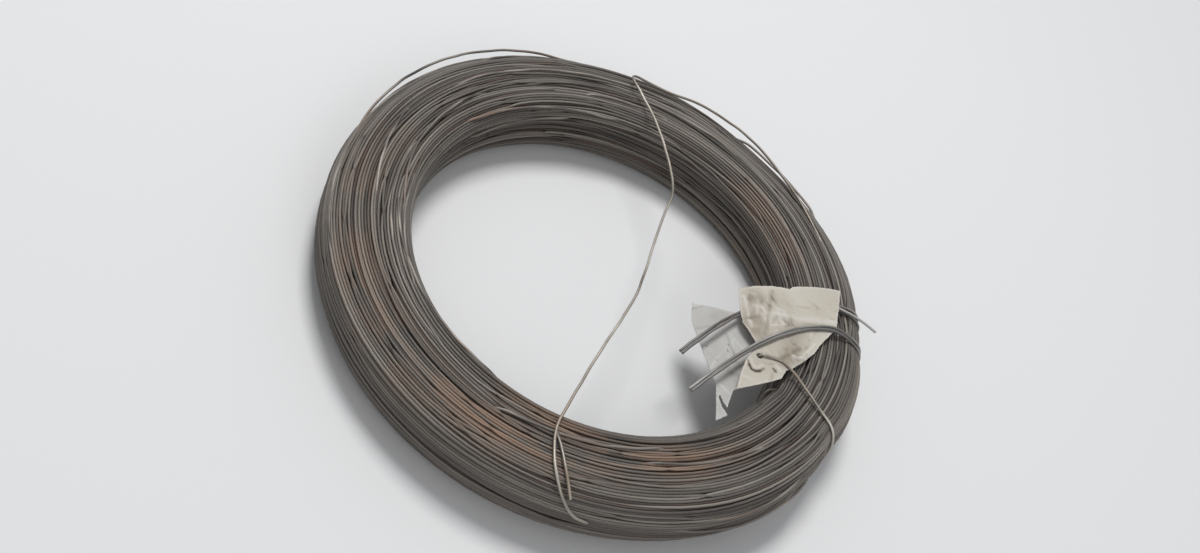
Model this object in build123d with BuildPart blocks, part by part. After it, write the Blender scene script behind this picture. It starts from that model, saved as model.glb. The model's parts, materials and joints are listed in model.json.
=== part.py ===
"""Coil of annealed steel wire, lying flat, with its ties, its loose end and two card tags.

Frame: the origin is the centre of the bore, half way up the coil. +Z points up along the
coil's axis, +X to the right and +Y to the back. Every size is in millimetres.
"""

import os
from math import asin, atan2, cos, pi, radians, sin, tan

from build123d import *

# Driving dimensions of the coil
outside_diameter = 430.0
bore_diameter = 300.0
coil_height = 60.0
inner_corner_radius = 14.0
outer_corner_radius = 24.0
plain_bore_margin = 2.0

# Bands of turns that show on the ends and the outer side
band_pitch = 13.6
band_unevenness = 0.25
band_beat = 2.4
band_start = 4.2
band_relief = 1.9
flat_share = 0.45
flat_level = 0.01

# Wire, of the coil and of its ties
wire_diameter = 2.1
wire_sides = 5
bend_share = 0.45
seat_gap = 0.3

# Ties round the section of the coil
double_tie_azimuths = (32.0, 24.0)
tag_tie_azimuth = -2.0
strand_spacing = 3.2
tie_recess = 0.4
channel_side_gap = 0.7
double_tie_descent = 30.0
tag_tie_descent = 26.0
end_overlap = 25.0

# Card tags
tag_thickness = 0.6
tag_hole_diameter = 5.0
tag_hole_inset = 19.0
tag_hole_aside = -6.5
white_tag_tilt = 12.4
white_tag_drop = 4.4

# Worked-out sizes
outer_radius = outside_diameter / 2
bore_radius = bore_diameter / 2
coil_top = coil_height / 2
wire_radius = wire_diameter / 2
radial_build = outer_radius - bore_radius
strand_depth = tie_recess + wire_radius
channel_depth = tie_recess + wire_diameter + seat_gap
lying_height = seat_gap + wire_radius
cream_tag_height = seat_gap + wire_diameter + seat_gap
over_tag_height = cream_tag_height + tag_thickness + lying_height
double_channel_width = strand_spacing + wire_diameter + 2 * channel_side_gap
single_channel_width = wire_diameter + 2 * channel_side_gap

# Tails of the doubled ties, from the tip: inward of the bore wall, aside, above the coil's top
tail_1 = [(95, 71, -9), (79, 55, -1.6), (53, 32, 1.2), (22, 11, 1.35), (-7, 3.5, 1.35)]
tail_2 = [(76, 95, -7), (56, 70, 2.2), (29, 39, 5.8), (3, 16, 5.2), (-17, 5, 4.9)]

# Route of the tag tie's hook and its run over the card, in the same terms
tag_hook = [
    (31, -6.5, -10.5),
    (19.6, -6.5, -11.5),
    (19.6, -6.5, 9),
    (9, -13, 5.3),
    (-9, -16.2, 4.9),
    (-26, -9.5, 2.4),
]

# Cards seen from above, in a frame that starts at their hole
cream_outline = [
    (-42, 43),
    (-10, 75),
    (-4, 86),
    (5, 93.5),
    (11.5, 104),
    (21, 112),
    (33, 74),
    (35, 62),
    (32, 38),
    (25, 5),
    (24, -9),
    (2, -38),
    (-5, -8),
    (-10, 12),
    (-21, 15),
    (-32, 24),
]
white_outline = [
    (-56, -38),
    (-34, -42),
    (-14, -35),
    (20, -33),
    (50, -38),
    (44, -28),
    (36, -30),
    (30, -24),
    (23, -16),
    (11, 7),
    (-37, 13),
]
white_tag_heading = -51.0

# Loose end: azimuth, distance from the coil's axis, height above the coil's top
loose_turn = [
    (51, outer_radius - 21.5, 1.4),
    (64, outer_radius - 21.5, 1.4),
    (73, outer_radius - 18, 1.7),
    (83, outer_radius - 13.2, 2.3),
    (92.5, outer_radius - 13, 2.9),
    (102, outer_radius - 16.8, 3.3),
    (110, outer_radius - 21.5, 3.4),
    (114, outer_radius - 20, 5.0),
    (118, outer_radius - 21.5, 6.8),
    (117.5, outer_radius - 29, 7.2),
    (115, outer_radius - 38, 6.6),
]
crossing_run = [
    (107.5, 0.97 * bore_radius, 6),
    (98, 0.74 * bore_radius, 6.2),
    (87.8, 0.575 * bore_radius, 6),
    (83.5, 0.43 * bore_radius, 5.8),
    (62, 0.24 * bore_radius, 5.5),
    (5, 0.175 * bore_radius, 5.2),
    (-39, 0.3 * bore_radius, 4.8),
    (-59, 0.5 * bore_radius, 4.2),
    (-67.5, 0.74 * bore_radius, 3.6),
]
front_wrap = [
    (-71.2, bore_radius + 2, 2.4),
    (-71.8, bore_radius + 0.31 * radial_build, 1.5),
    (-70.6, outer_radius - 20, 1.4),
    (-69.2, outer_radius - 11.5, -1.2),
    (-67.4, outer_radius - 3.8, -7.8),
    (-65.4, outer_radius + 1.0, -17.5),
    (-63.8, outer_radius + 1.4, -28),
]


def radial_plane(azimuth, offset=0.0):
    """Upright plane through the coil's axis: local x is the radius and local y the height."""
    direction = Vector(cos(radians(azimuth)), sin(radians(azimuth)), 0)
    normal = Vector(direction.Y, -direction.X, 0)
    return Plane(origin=normal * offset, x_dir=direction, z_dir=normal)


def band_widths(length):
    """Widths of the bands along the outline, which differ a little as bundled turns do."""
    count = max(3, round(length / band_pitch))
    shares = [1 + band_unevenness * sin(band_beat * n + band_start) for n in range(count)]
    return [length * share / sum(shares) for share in shares]


def section_outline():
    """Smooth outline of the wound section, from the plain bore wall's foot round to its head."""
    margin = inner_corner_radius + plain_bore_margin
    corners = [
        (bore_radius, margin - coil_top),
        (bore_radius, -coil_top),
        (outer_radius, -coil_top),
        (outer_radius, coil_top),
        (bore_radius, coil_top),
        (bore_radius, coil_top - margin),
    ]
    radii = (inner_corner_radius, outer_corner_radius, outer_corner_radius, inner_corner_radius)
    return FilletPolyline(*corners, radius=radii, mode=Mode.PRIVATE)


def banded_points(outline):
    """Points of the outline: a crest on each band of turns and a groove between each two bands.

    The bands that the coil lies on are pressed flat, over a share of their width.
    """
    length = outline.length

    def point_at(place, depth=0.0):
        along = outline % (place / length)
        return outline @ (place / length) + Vector(-along.Y, along.X) * depth

    points = [outline @ 0]
    widths = band_widths(length)
    place = widths[0]
    for width in widths[1:-1]:
        points.append(point_at(place, band_relief))
        crest = place + width / 2
        half_flat = flat_share * width / 2
        flat = [point_at(crest - half_flat), point_at(crest + half_flat)]
        lies_below = max(point.Y for point in flat) < flat_level - coil_top
        points += flat if lies_below else [point_at(crest)]
        place += width
    return points + [point_at(place, band_relief), outline @ 1]


def cut_channel(azimuth, width):
    """Slot all round the section, where a tie pulls the turns in."""
    half_build = radial_build / 2
    middle = (bore_radius + half_build, 0)
    floor_corners = [
        (bore_radius + channel_depth, channel_depth - coil_top),
        (outer_radius - channel_depth, channel_depth - coil_top),
        (outer_radius - channel_depth, coil_top - channel_depth),
        (bore_radius + channel_depth, coil_top - channel_depth),
    ]
    inner = inner_corner_radius - channel_depth
    outer = outer_corner_radius - channel_depth
    with BuildSketch(radial_plane(azimuth)) as slot:
        with Locations(middle):
            Rectangle(radial_build + 2 * channel_depth, coil_height + 2 * channel_depth)
        with BuildLine():
            FilletPolyline(*floor_corners, radius=(inner, outer, outer, inner), close=True)
        make_face(mode=Mode.SUBTRACT)
    extrude(slot.sketch, amount=width / 2, both=True, mode=Mode.SUBTRACT)


def bend_radii(points, largest):
    """Radius at each inner point of a route: as large as its runs allow, up to a stated one."""
    radii = []
    for index in range(1, len(points) - 1):
        run_in = points[index] - points[index - 1]
        run_out = points[index + 1] - points[index]
        half_turn = radians(run_in.get_angle(run_out)) / 2
        radius = bend_share * min(run_in.length, run_out.length) / tan(half_turn)
        radii.append(min(radius, largest.get(index, radius)))
    return radii


def sweep_wire(points, largest):
    """Wire of flat sides along a route, with the round wire's area of section."""
    half_across_flats = wire_radius * (pi / (wire_sides * tan(pi / wire_sides))) ** 0.5
    with BuildLine() as route:
        FilletPolyline(*points, radius=bend_radii(points, largest))
    path = route.line
    with BuildSketch(Plane(origin=path @ 0, z_dir=path % 0)) as section:
        RegularPolygon(half_across_flats, wire_sides, major_radius=False)
    sweep(section.sketch, path=path)


def beside_tie(azimuth, steps):
    """Points stated inward of the bore wall, aside of the tie's plane and above the coil's top."""
    plane = radial_plane(azimuth)
    return [
        plane.from_local_coords(Vector(bore_radius - inward, coil_top + above, aside))
        for inward, aside, above in steps
    ]


def shifted_aside(points, offset):
    """Route beside a route, but for its last point, at a level distance to its right."""
    shifted = []
    for index, point in enumerate(points[:-1]):
        along = points[index + 1] - points[max(index - 1, 0)]
        aside = Vector(along.Y, -along.X, 0).normalized()
        shifted.append(point + aside * offset)
    return shifted


def edge_corner(start):
    """Corner of the route down from a start above the coil, that bends along the outer edge."""
    centre = Vector(outer_radius - outer_corner_radius, coil_top - outer_corner_radius)
    towards = centre - start
    slope = atan2(towards.Y, towards.X) + asin((outer_corner_radius - strand_depth) / towards.length)
    outermost = outer_radius - strand_depth
    return (outermost, start.Y + (outermost - start.X) * tan(slope))


def tie_strand(azimuth, offset, tail, descent, top_gap):
    """Strand with a tail, that runs once round the section and ends under its own start."""
    start = Vector(outer_radius - descent, coil_top + top_gap)
    low = strand_depth - coil_top
    loop = [
        (start.X, start.Y),
        edge_corner(start),
        (outer_radius - strand_depth, low),
        (bore_radius + strand_depth, low),
        (bore_radius + strand_depth, coil_top - strand_depth),
        (bore_radius + end_overlap, coil_top - strand_depth),
    ]
    plane = radial_plane(azimuth, offset)
    middle_start = radial_plane(azimuth).from_local_coords(start)
    points = shifted_aside(beside_tie(azimuth, tail) + [middle_start], offset)
    first = len(points)
    points += [plane.from_local_coords(Vector(*corner)) for corner in loop]
    largest = {
        first + 1: outer_corner_radius - strand_depth,
        first + 2: outer_corner_radius - strand_depth,
        first + 3: inner_corner_radius - strand_depth,
        first + 4: inner_corner_radius - strand_depth,
    }
    sweep_wire(points, largest)


def around_coil(steps):
    """Points stated by azimuth, distance from the coil's axis and height above the coil's top."""
    return [
        Vector(radius * cos(radians(azimuth)), radius * sin(radians(azimuth)), coil_top + above)
        for azimuth, radius, above in steps
    ]


def tag_hole_point(above):
    """Place of the hole that the tag tie passes through, at a height above the coil's top."""
    return beside_tie(tag_tie_azimuth, [(tag_hole_inset, tag_hole_aside, above)])[0]


def finish(part, name):
    """Label a piece and write it to its own file."""
    part.label = name
    export_step(part, f"parts/{name}.step")
    print(name, "volume", round(part.volume), "mm3")


os.makedirs("parts", exist_ok=True)

# Wound coil: one turned solid with its bore, its bands of turns and its ties' slots
with BuildPart() as wire_coil:
    with BuildSketch(Plane.XZ):
        with BuildLine():
            Polyline(*banded_points(section_outline()), close=True)
        make_face()
    revolve(axis=Axis.Z)
    for tie_azimuth in double_tie_azimuths:
        cut_channel(tie_azimuth, double_channel_width)
    cut_channel(tag_tie_azimuth, single_channel_width)
finish(wire_coil.part, "wire_coil")

# Two doubled ties: the first under the cream card, the second over it
with BuildPart() as tie_wire_1:
    for strand_offset in (-strand_spacing / 2, strand_spacing / 2):
        tie_strand(double_tie_azimuths[0], strand_offset, tail_1, double_tie_descent, lying_height)
finish(tie_wire_1.part, "tie_wire_1")

with BuildPart() as tie_wire_2:
    for strand_offset in (-strand_spacing / 2, strand_spacing / 2):
        tie_strand(double_tie_azimuths[1], strand_offset, tail_2, double_tie_descent, over_tag_height)
finish(tie_wire_2.part, "tie_wire_2")

# Single tie that hooks through both cards
with BuildPart() as tag_tie:
    tie_strand(tag_tie_azimuth, 0.0, tag_hook, tag_tie_descent, lying_height)
finish(tag_tie.part, "tag_tie")

# Cream card, flat on the first tie
with BuildPart() as cream_tag:
    with BuildSketch(Plane(origin=tag_hole_point(cream_tag_height), z_dir=(0, 0, 1))):
        with BuildLine():
            Polyline(*cream_outline, close=True)
        make_face()
        Circle(tag_hole_diameter / 2, mode=Mode.SUBTRACT)
    extrude(amount=tag_thickness)
finish(cream_tag.part, "cream_tag")

# White card, hung under the cream one and tilted down into the bore
heading = radians(white_tag_heading)
tilt = radians(white_tag_tilt)
white_plane = Plane(
    origin=tag_hole_point(-white_tag_drop),
    x_dir=(cos(heading), sin(heading), 0),
    z_dir=(sin(heading) * sin(tilt), -cos(heading) * sin(tilt), cos(tilt)),
)
with BuildPart() as white_tag:
    with BuildSketch(white_plane):
        with BuildLine():
            Polyline(*white_outline, close=True)
        make_face()
        Circle(tag_hole_diameter / 2, mode=Mode.SUBTRACT)
    extrude(amount=-tag_thickness)
finish(white_tag.part, "white_tag")

# Loose end of the wire: last turn sprung off the back, hook, run over the bore, wrap at the front
with BuildPart() as loose_end:
    sweep_wire(around_coil(loose_turn + crossing_run + front_wrap), {})
finish(loose_end.part, "loose_end")
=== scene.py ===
"""Looks of a coil of annealed wire: its turns, its ties, its loose end and two card tags.

Everything is in metres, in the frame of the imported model: +Z up along the coil's axis.
"""

import json
from math import asin, atan2, cos, radians, sin

import bpy
import numpy as np
from mathutils import Matrix, Vector
from mathutils.geometry import delaunay_2d_cdt


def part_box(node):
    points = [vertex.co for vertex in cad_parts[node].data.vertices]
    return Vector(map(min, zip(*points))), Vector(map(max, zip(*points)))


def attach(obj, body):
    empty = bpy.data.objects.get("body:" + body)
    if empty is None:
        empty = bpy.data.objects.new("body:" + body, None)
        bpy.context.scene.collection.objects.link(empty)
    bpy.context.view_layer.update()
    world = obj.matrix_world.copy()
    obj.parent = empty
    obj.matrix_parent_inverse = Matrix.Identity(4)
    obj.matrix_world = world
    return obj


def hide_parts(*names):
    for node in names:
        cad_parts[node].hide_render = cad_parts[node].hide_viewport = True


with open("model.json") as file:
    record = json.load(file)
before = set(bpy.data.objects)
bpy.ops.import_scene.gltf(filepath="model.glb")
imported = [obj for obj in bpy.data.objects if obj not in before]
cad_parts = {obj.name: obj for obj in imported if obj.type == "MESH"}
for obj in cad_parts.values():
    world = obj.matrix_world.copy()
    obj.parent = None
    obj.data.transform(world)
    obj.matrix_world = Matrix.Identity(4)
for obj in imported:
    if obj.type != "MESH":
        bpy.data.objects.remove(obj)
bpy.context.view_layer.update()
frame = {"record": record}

# Sizes of the coil, the outer ones and the bore from the frame
MM = 0.001
coil_low, coil_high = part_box("wire_coil")
bore_mount = next(m for m in frame["record"]["mounts"] if m["name"] == "bore")
outer_radius = coil_high.x
bore_radius = bore_mount["dims"]["r_mm"] * MM
coil_top = coil_high.z
inner_corner = 14 * MM
outer_corner = 24 * MM
wire_radius = 1.05 * MM
floor_level = coil_low.z

# Bands of turns, as the solid has them, and how they vary here round the coil
band_pitch = 13.6 * MM
band_unevenness = 0.25
band_beat = 2.4
band_start = 4.2
band_relief = 1.9 * MM
plain_bore_margin = 2 * MM
band_strength = 0.85
strength_wave = 0.3
band_sway = 1.1 * MM

# Ties on the coil: depth of a strand's centre line, half the distance between two strands, and
# how far from the bore wall a tie ends, tucked under its own start
strand_depth = 0.4 * MM + wire_radius
half_spacing = 1.14 * MM
end_overlap = 25 * MM
tag_end_overlap = 7 * MM
tuck_length = 18 * MM
tuck_depth = 3.5
loop_count = 150

# Ties and cards, near the solids' own, in millimetres and degrees. Routes are stated inward of
# the bore wall, aside and above the coil's top, and outlines from the middle of the hole
lying_height = 1.35
cream_tag_height = 2.7
over_tag_height = 4.65
double_tie_descent = 30.0
tag_tie_descent = 26.0
tag_hole_radius = 2.5
tag_hole_inset = 19.0
tag_hole_aside = -6.5
white_tag_tilt = 12.4
white_tag_drop = 4.4
white_tag_heading = -51.0
tail_1 = [(95, 71, -9), (79, 55, -1.6), (53, 32, 1.2), (22, 11, 1.35), (-7, 3.5, 1.35)]
tail_2 = [(76, 95, -7), (56, 70, 2.2), (29, 39, 5.8), (3, 16, 5.2), (-17, 5, 4.9)]
tag_hook = [
    (31, -6.5, -10.5), (19.6, -6.5, -11.5), (19.6, -6.5, 6.8), (15, -9.4, 5.5), (8, -13.2, 5.0),
    (2, -15.6, 5.0), (-4, -14, 4.8), (-13, -13.2, 3.6), (-24, -9.3, 2.2),
]
cream_outline = [
    (-42.2, 43), (-39.6, 48.5), (-34.8, 55.8), (-23.7, 67.5), (-14.2, 75.2), (-11.9, 76.5),
    (-10.6, 81.2), (-5.5, 87.5), (1.1, 94.5), (11.7, 103.5), (20.7, 110.3), (28.8, 90.5),
    (34.6, 73.7), (33.4, 61.5), (31.8, 47.5), (31.5, 35.3), (28.5, 22), (25, 10), (22, 4),
    (22.4, -5.2), (14.8, -18.4), (6.8, -30.5), (1, -39.5), (-3.1, -27.5), (-6.2, -11.4), (-6.4, -1),
    (-8.6, 9.5), (-15.7, 13.9), (-23.2, 17.8), (-28.6, 22), (-35.6, 32.4),
]
white_outline = [
    (-56, -38), (-38, -42), (-14, -38.5), (20, -33), (50, -38), (45.7, -28.6), (38.9, -31.4),
    (31.1, -32.8), (28, -31.6), (34.8, -29.8), (39.4, -28), (32.9, -24.8), (25, -21), (23, -16),
    (11, 7), (-37, 13),
]

# Doubled ties: azimuth, tail, height above the coil's top, and bows. A bow is how far aside the
# strands lie on the outer edge: size, place past the flat top's end and spread
double_ties = [(32, tail_1, lying_height, (3.2, 20, 20)), (24, tail_2, over_tag_height, (1.2, 20, 20))]
tag_tie_azimuth = -2
tag_tie_bows = [(-4.2, 6, 22), (4, 48, 18)]
no_bows = [(0, 0, 1)]

# Loose end, over the coil's top, across the bore and over the front: azimuth in degrees,
# millimetres out from the outer, the bore's and the outer radius, and above the coil's top
loose_turn = [
    (51, -21.5, -3.5), (61, -21.5, 0.6), (73, -18, 1.2), (83, -13.2, 2), (92.5, -13, 2.8),
    (101, -16, 3.2), (109, -20.5, 1.6), (113.5, -20, 3.4), (117.6, -19, 4.6), (117.6, -28, 7),
    (115, -38, 6.6),
]
crossing_run = [
    (107.5, -4.5, 6), (98, -39, 6.2), (87.8, -63.75, 6), (83.5, -85.5, 5.8), (62, -114, 5.5),
    (5, -123.75, 5.2), (-39, -105, 4.8), (-59, -75, 4.2), (-67.5, -39, 3.6), (-71.2, 2, 2.4),
    (-72.6, 20.138, 1.6),
]
front_wrap = [
    (-70.6, -20, 1.4), (-69.2, -11.5, -1.2), (-67.4, -3.8, -7.8), (-65.4, 1, -14.5),
    (-63.8, 1.6, -20), (-62.2, 1.6, -23.4), (-60.6, 1, -25),
]

# Free tip of the first tie, second strand at the front, and turns that stand off the coil:
# azimuth, distance from the coil's axis and height, in degrees and millimetres
tie_tip = [
    (32, 178, 32), (31.2, 187, 32), (30.5, 197, 31.6), (29.7, 206, 30.5), (29, 213, 29.5),
    (28.4, 219, 28),
]
front_strand = [
    (-72.2, 171, 28.5), (-71.6, 174.5, 31), (-70.3, 181, 31.8), (-68, 198, 31.2), (-66.5, 208, 27),
    (-65.4, 212.5, 21),
]
stray_turns = [
    [(203, 206, 12), (193, 212, 14), (184, 215, 15.5), (174, 218.5, 17), (163, 221, 18), (152, 221.5, 18.5),
     (142, 219, 18.5), (134, 214.5, 18), (124, 209, 16)],
    [(196, 207, 9), (186, 214, 10), (172, 217, 11.5), (158, 218, 13), (146, 216, 14), (134, 209, 13)],
    [(160, 172, 26), (167.5, 170.7, 31), (173, 168.8, 31.4), (181.4, 168.1, 31.4), (190.7, 166.6, 31.4),
     (199.8, 164.5, 31.2), (210.7, 160.5, 30), (220, 158, 25)],
    [(-4, 208, 3), (-9, 214.5, 4), (-16, 218.5, 5), (-24, 220.5, 5), (-33, 220, 4), (-42, 216, 2),
     (-50, 209, 0)],
    [(-3, 203, 15), (-9, 209, 17), (-17, 214.5, 16), (-27, 217.5, 14), (-38, 216.5, 12), (-48, 209, 10)],
]

# Turns that cross their neighbours, in degrees and millimetres: how many, how long, between
# which azimuths, where along the section and how far aslant, and how they rise from below
crossing_count = 16
crossing_points = 60
crossing_spans = (28, 80)
crossing_azimuths = (50, 344)
crossing_places = (6, 104)
crossing_slant = 13
crossing_end_depth = 3.4 * MM
crossing_rise = 4.6 * MM
crossing_steepness = 2.2
crossing_band_share = 0.6

# Brown patches on the turns: azimuth, place along the section in mm, their two spreads and strength
rust_patches = [
    (-44, 50, 18, 12, 1.0), (-80, 66, 18, 11, 1.0), (-74, 37, 14, 8, 0.8), (-116, 74, 26, 20, 0.55),
    (-148, 70, 22, 26, 0.2), (-172, 44, 22, 16, 0.15), (104, 98, 20, 12, 0.6),
    (20, 100, 20, 16, 0.5), (62, 28, 24, 12, 0.5), (150, 130, 30, 20, 0.7), (-60, 150, 40, 20, 0.8),
    (40, 190, 30, 20, 0.7),
]

# Patches of painted glints, where the turns are painted brighter as if light glinted on them, stated as the
# brown patches are
painted_glint_patches = [
    (-136, 56, 16, 22, 1.0), (-160, 84, 20, 12, 0.8), (-62, 78, 20, 14, 0.7),
    (112, 62, 40, 26, 0.5), (-98, 92, 24, 10, 0.6),
]
painted_glint_tone = 0.3
painted_glint_base = 0.3

# Share of rust that the layers under the outermost have all over
deep_rust = 0.4

# Where the outer side stands out: azimuth and spread in degrees and size in mm, and how far
# along the section. Then the hollow that a knock left in the outer edge at the back right, and
# the hollows under the ties, with their spreads round the coil in radians
swellings = [(11, 7.5, 3.6), (-30, 15, 2.4)]
swelling_place = 106 * MM
swelling_width = 22 * MM
dent_azimuth = 80
dent_spread = 0.31
dent_place = 82 * MM
dent_width = 20 * MM
dent_depth = 3.8 * MM
tie_dip_spread = 0.055
tie_dip_depth = 2.6 * MM

# Sheets of the cards: thickness, half the solids' thickness, triangles, rim and hole
card_thickness = 0.45 * MM
half_tag = 0.3
card_grid = 0.85
grid_jitter = 0.25
rim_margin = 0.6
fray = 0.12
hole_corners = 24

# Bends of the cards, in mm: slight waves of both, the cream card held down beside the second
# tie, free further off and carried by the first, and the kink of the white one
wave_height = 0.5
held_width = 2.5
freeing_width = 7
free_lift = 0.25
free_high = 4.5
free_low = -1.2
carried_width = 6
carried_low = -0.02
kink_heading = 0.5
kink_slope = 0.25
kink_width = 12
white_heights = (-2.5, 0.9)

# Random folds of the cards: centre, spread, count, height and width. A fold as wide as wide_bend leaves no
# mark. Runs of folds and tears: points, height, mark (a ridge, or a groove below 0) and width; a mark above
# 0 is painted highlight on a ridge, below 0 painted shade in a groove, and below -1 painted shadow along a
# tear. Stains: x, y, spread and strength
wide_bend = 6
fold_length = 0.7
cream_folds = [
    ((-22, 38), 9, 26, 1.5, 2.6), ((4, 44), 10, 30, 1.8, 2.6), ((22, 66), 8, 12, 1.2, 2.4),
    ((19, 22), 6, 16, 1.6, 2.4), ((8, -8), 12, 10, 0.9, 2.6), ((5, 50), 40, 12, 1.2, 11),
]
cream_runs = [
    ([(-21, 63), (-6, 22)], -0.9, -0.6, 2.6), ([(-12, 41), (12, 61), (32, 77)], 1.4, 0.5, 4.5),
    ([(21, 31), (14, 10)], -1.3, -0.6, 2.6), ([(28, 44), (25, 22)], 0.8, 0.6, 2.6),
    ([(-36, 40), (-18, 20)], 0.7, 0.6, 2.4),
    ([(-2.4, -13.2), (0.8, -15.4), (4, -14.7), (6.6, -12)], -0.7, -3, 1.5),
    ([(-4.9, -10.2), (-2.4, -13.2)], -0.5, -1.5, 1.2), ([(6.6, -12), (7.9, -8)], -0.5, -1.5, 1.2),
    ([(-3.4, -8), (-1.6, -11), (1, -12.6), (3.4, -12), (5.2, -10), (5.6, -6.5)], 0.8, 0.5, 2.4),
    ([(13.4, -2.2), (16.4, -3)], -0.6, -2.2, 1.4), ([(14.2, 1.5), (19, -0.5)], 0.8, 0.5, 2.4),
]
white_folds = [((-10, -14), 24, 24, 0.5, 2.2), ((-10, -10), 30, 10, 0.4, 7)]
white_runs = [
    ([(-15.1, -34.5), (-14.2, -33.6)], -0.2, -1.5, 0.9),
    ([(-2.2, -28.9), (-1.4, -28.2)], -0.2, -1.4, 0.8),
    ([(-16.2, -17.6), (-15.4, -17.2)], -0.2, -1.6, 0.8),
    ([(-10.8, -19.2), (-9.8, -18.6)], -0.2, -1.5, 0.9),
    ([(-19.3, -14), (-12.3, -14.4)], 0.4, 0.6, 2), ([(6, -26), (14, -12)], -0.4, -0.4, 2.2),
]
cream_stains = [
    (-29, 46, 10, 1.0), (-20, 30, 11, 1.2), (-12, 18, 8, 1.0), (-13, 60, 10, 0.7), (19, 20, 8, 1.2),
    (6, -6, 16, 0.25), (14, 34, 12, 0.4), (8, 46, 14, 0.5), (17, 9, 5, 0.9),
]
white_stains = [
    (-44, -20, 12, 0.5), (-24, 2, 9, 0.5), (-10, -30, 10, 0.4), (10, -18, 12, 0.6),
    (34, -30, 12, 0.7),
]

# Winding: sections round the coil, closer together beside the ties, layers, how full each is
# wound, the sides of their wires, and the core under them
seed = 7
azimuth_count = 120
tie_azimuths = [row[0] for row in double_ties] + [tag_tie_azimuth]
crowding = 1.6
crowding_spread = 0.12
layer_step = 1.85 * MM
layer_fill = (0.88, 0.96, 1.0)
wire_sides = (8, 6, 6)
core_corners = 96
core_depth = wire_radius + 2.6 * layer_step
corner_count = 60
fine_count = 4001

# Random lie of the turns, in mm: wander of all of them, runs that wander boldly and lie higher,
# and waves that bundle them (wavelength, most waves round the coil, size and count)
wander_size = 1.3
lift_size = 0.4
bold_from = 1.3
bold_wander = 9
bold_lift = 1.5
bundle_waves = ((13, 2, 0.8, 2), (8, 3, 0.7, 4), (5, 4, 0.4, 4))
wavelength_range = (0.8, 1.25)

# Relaxing: number of steps, how often neighbours and hollows are looked up, the distances that
# count, and the share of each move that a step makes
relax_steps = 90
start_steps = 60
near_every = 10
inset_every = 5
near_reach = 4.2 * MM
wire_gap = 2.02 * wire_radius
least_distance = 1e-6
push_share = 0.9
smooth_share = 0.35
start_share = 0.02
sink_share = 0.03

# Single wires: step between their points, sides, slight bends, and a direction none starts in
wire_step = 1.2 * MM
loose_wire_sides = 10
smoothing_rounds = 6
fade_steps = 8
bend_steps = 9
tie_bends = 0.12 * MM
short_bends = 0.1 * MM
loose_bends = 0.15 * MM
off_line = (0.3, 0.2, 1.0)

# Tones, from dark at 0 to light at 1: the loose end is dark up to a place along it in metres.
# Streaks move on in their noise from turn to turn and from layer to layer
middle_tone = 0.5
tip_tone = 0.95
loose_tone_places = (0.15, 0.26)
loose_tones = (0.05, 0.5)
slow_tone = 0.16
bundle_tone_size = 0.055
tone_wavelengths = (24, 15, 9, 6.5)
streak_turn = 0.35
streak_layer = 50

# Colours in 0 to 255. Wires: dark, middle, light and rust, then roughness and metal. Cards: rim and painted
# ridge highlight, clean, stained, painted groove shade with dirt flecks, and painted tear shadow
wire_looks = {
    "coil_wire": ((58, 55, 51), (97, 92, 87), (134, 128, 120), (138, 112, 93), 0.6, 0.3),
    # The deep wire colours are darker all over: painted shade for the layers under the outermost and the
    # core, seen in the gaps between turns
    "deep_wire_in_painted_shade": ((42, 38, 35), (74, 67, 62), (100, 92, 85), (90, 68, 56), 0.58, 0.25),
    "stray_wire": ((72, 67, 63), (112, 106, 100), (160, 152, 144), (130, 108, 94), 0.52, 0.35),
    "tie_wire": ((86, 84, 83), (122, 120, 117), (172, 169, 164), (104, 94, 88), 0.5, 0.4),
    "bright_wire": ((112, 106, 98), (158, 152, 142), (205, 200, 190), (132, 110, 92), 0.4, 0.5),
}
card_looks = {
    "cream_card": ((212, 207, 200), (192, 186, 174), (150, 141, 127), (112, 100, 88), (72, 63, 56)),
    "white_card": ((204, 204, 201), (190, 189, 186), (158, 155, 149), (120, 116, 110), (70, 66, 62)),
}
# Share of painted shade in the cards' grooves and of their dark dirt flecks
groove_shade_and_dirt_share = 0.9
bump_distance = 0.2 * MM

# Stage: floor that fades between two distances from the coil's axis, light and camera
floor_half = 6.0
floor_fade = (0.6, 1.8)
floor_colour = (0.72, 0.72, 0.72, 1)
backdrop_colour = (0.735, 0.74, 0.746, 1)
sky_colour = (0.9, 0.92, 0.95, 1)
sky_strength = 0.42
lamps = (("key", (-0.75, 0.75, 2.75), 1.1, 58), ("fill", (1.6, -1.6, 1.8), 1.4, 12))
camera_place = (0.1152, -0.7230, 0.7657)
camera_up_hint = (-0.6101, 0.6226, 0.4899)


def bell(x, middle, spread):
    """1 at the middle, and less and less on both sides of it."""
    return np.exp(-(((x - middle) / spread) ** 2))


def lengths_along(line):
    """Distance along a line at each of its points."""
    return np.concatenate([[0], np.cumsum(np.linalg.norm(np.diff(line, axis=0), axis=1))])


def rounded_section():
    """Points and outward normals round the section, from the middle of the bore wall."""
    corners = (
        (bore_radius + inner_corner, coil_top - inner_corner, inner_corner, 180),
        (outer_radius - outer_corner, coil_top - outer_corner, outer_corner, 90),
        (outer_radius - outer_corner, outer_corner - coil_top, outer_corner, 0),
        (bore_radius + inner_corner, inner_corner - coil_top, inner_corner, -90),
    )
    points, normals = [(bore_radius, 0.0)], [(-1.0, 0.0)]
    for centre_r, centre_z, radius, start in corners:
        for turn in np.radians(np.linspace(start, start - 90, corner_count)):
            normal = (np.cos(turn), np.sin(turn))
            points.append((centre_r + radius * normal[0], centre_z + radius * normal[1]))
            normals.append(normal)
    points.append(points[0])
    normals.append(normals[0])
    points, normals = np.array(points), np.array(normals)
    lengths = lengths_along(points)
    even = np.linspace(0, lengths[-1], fine_count)
    table = [np.interp(even, lengths, column) for column in (*points.T, *normals.T)]
    return np.array(table), lengths[-1]


section_table, section_length = rounded_section()


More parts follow.
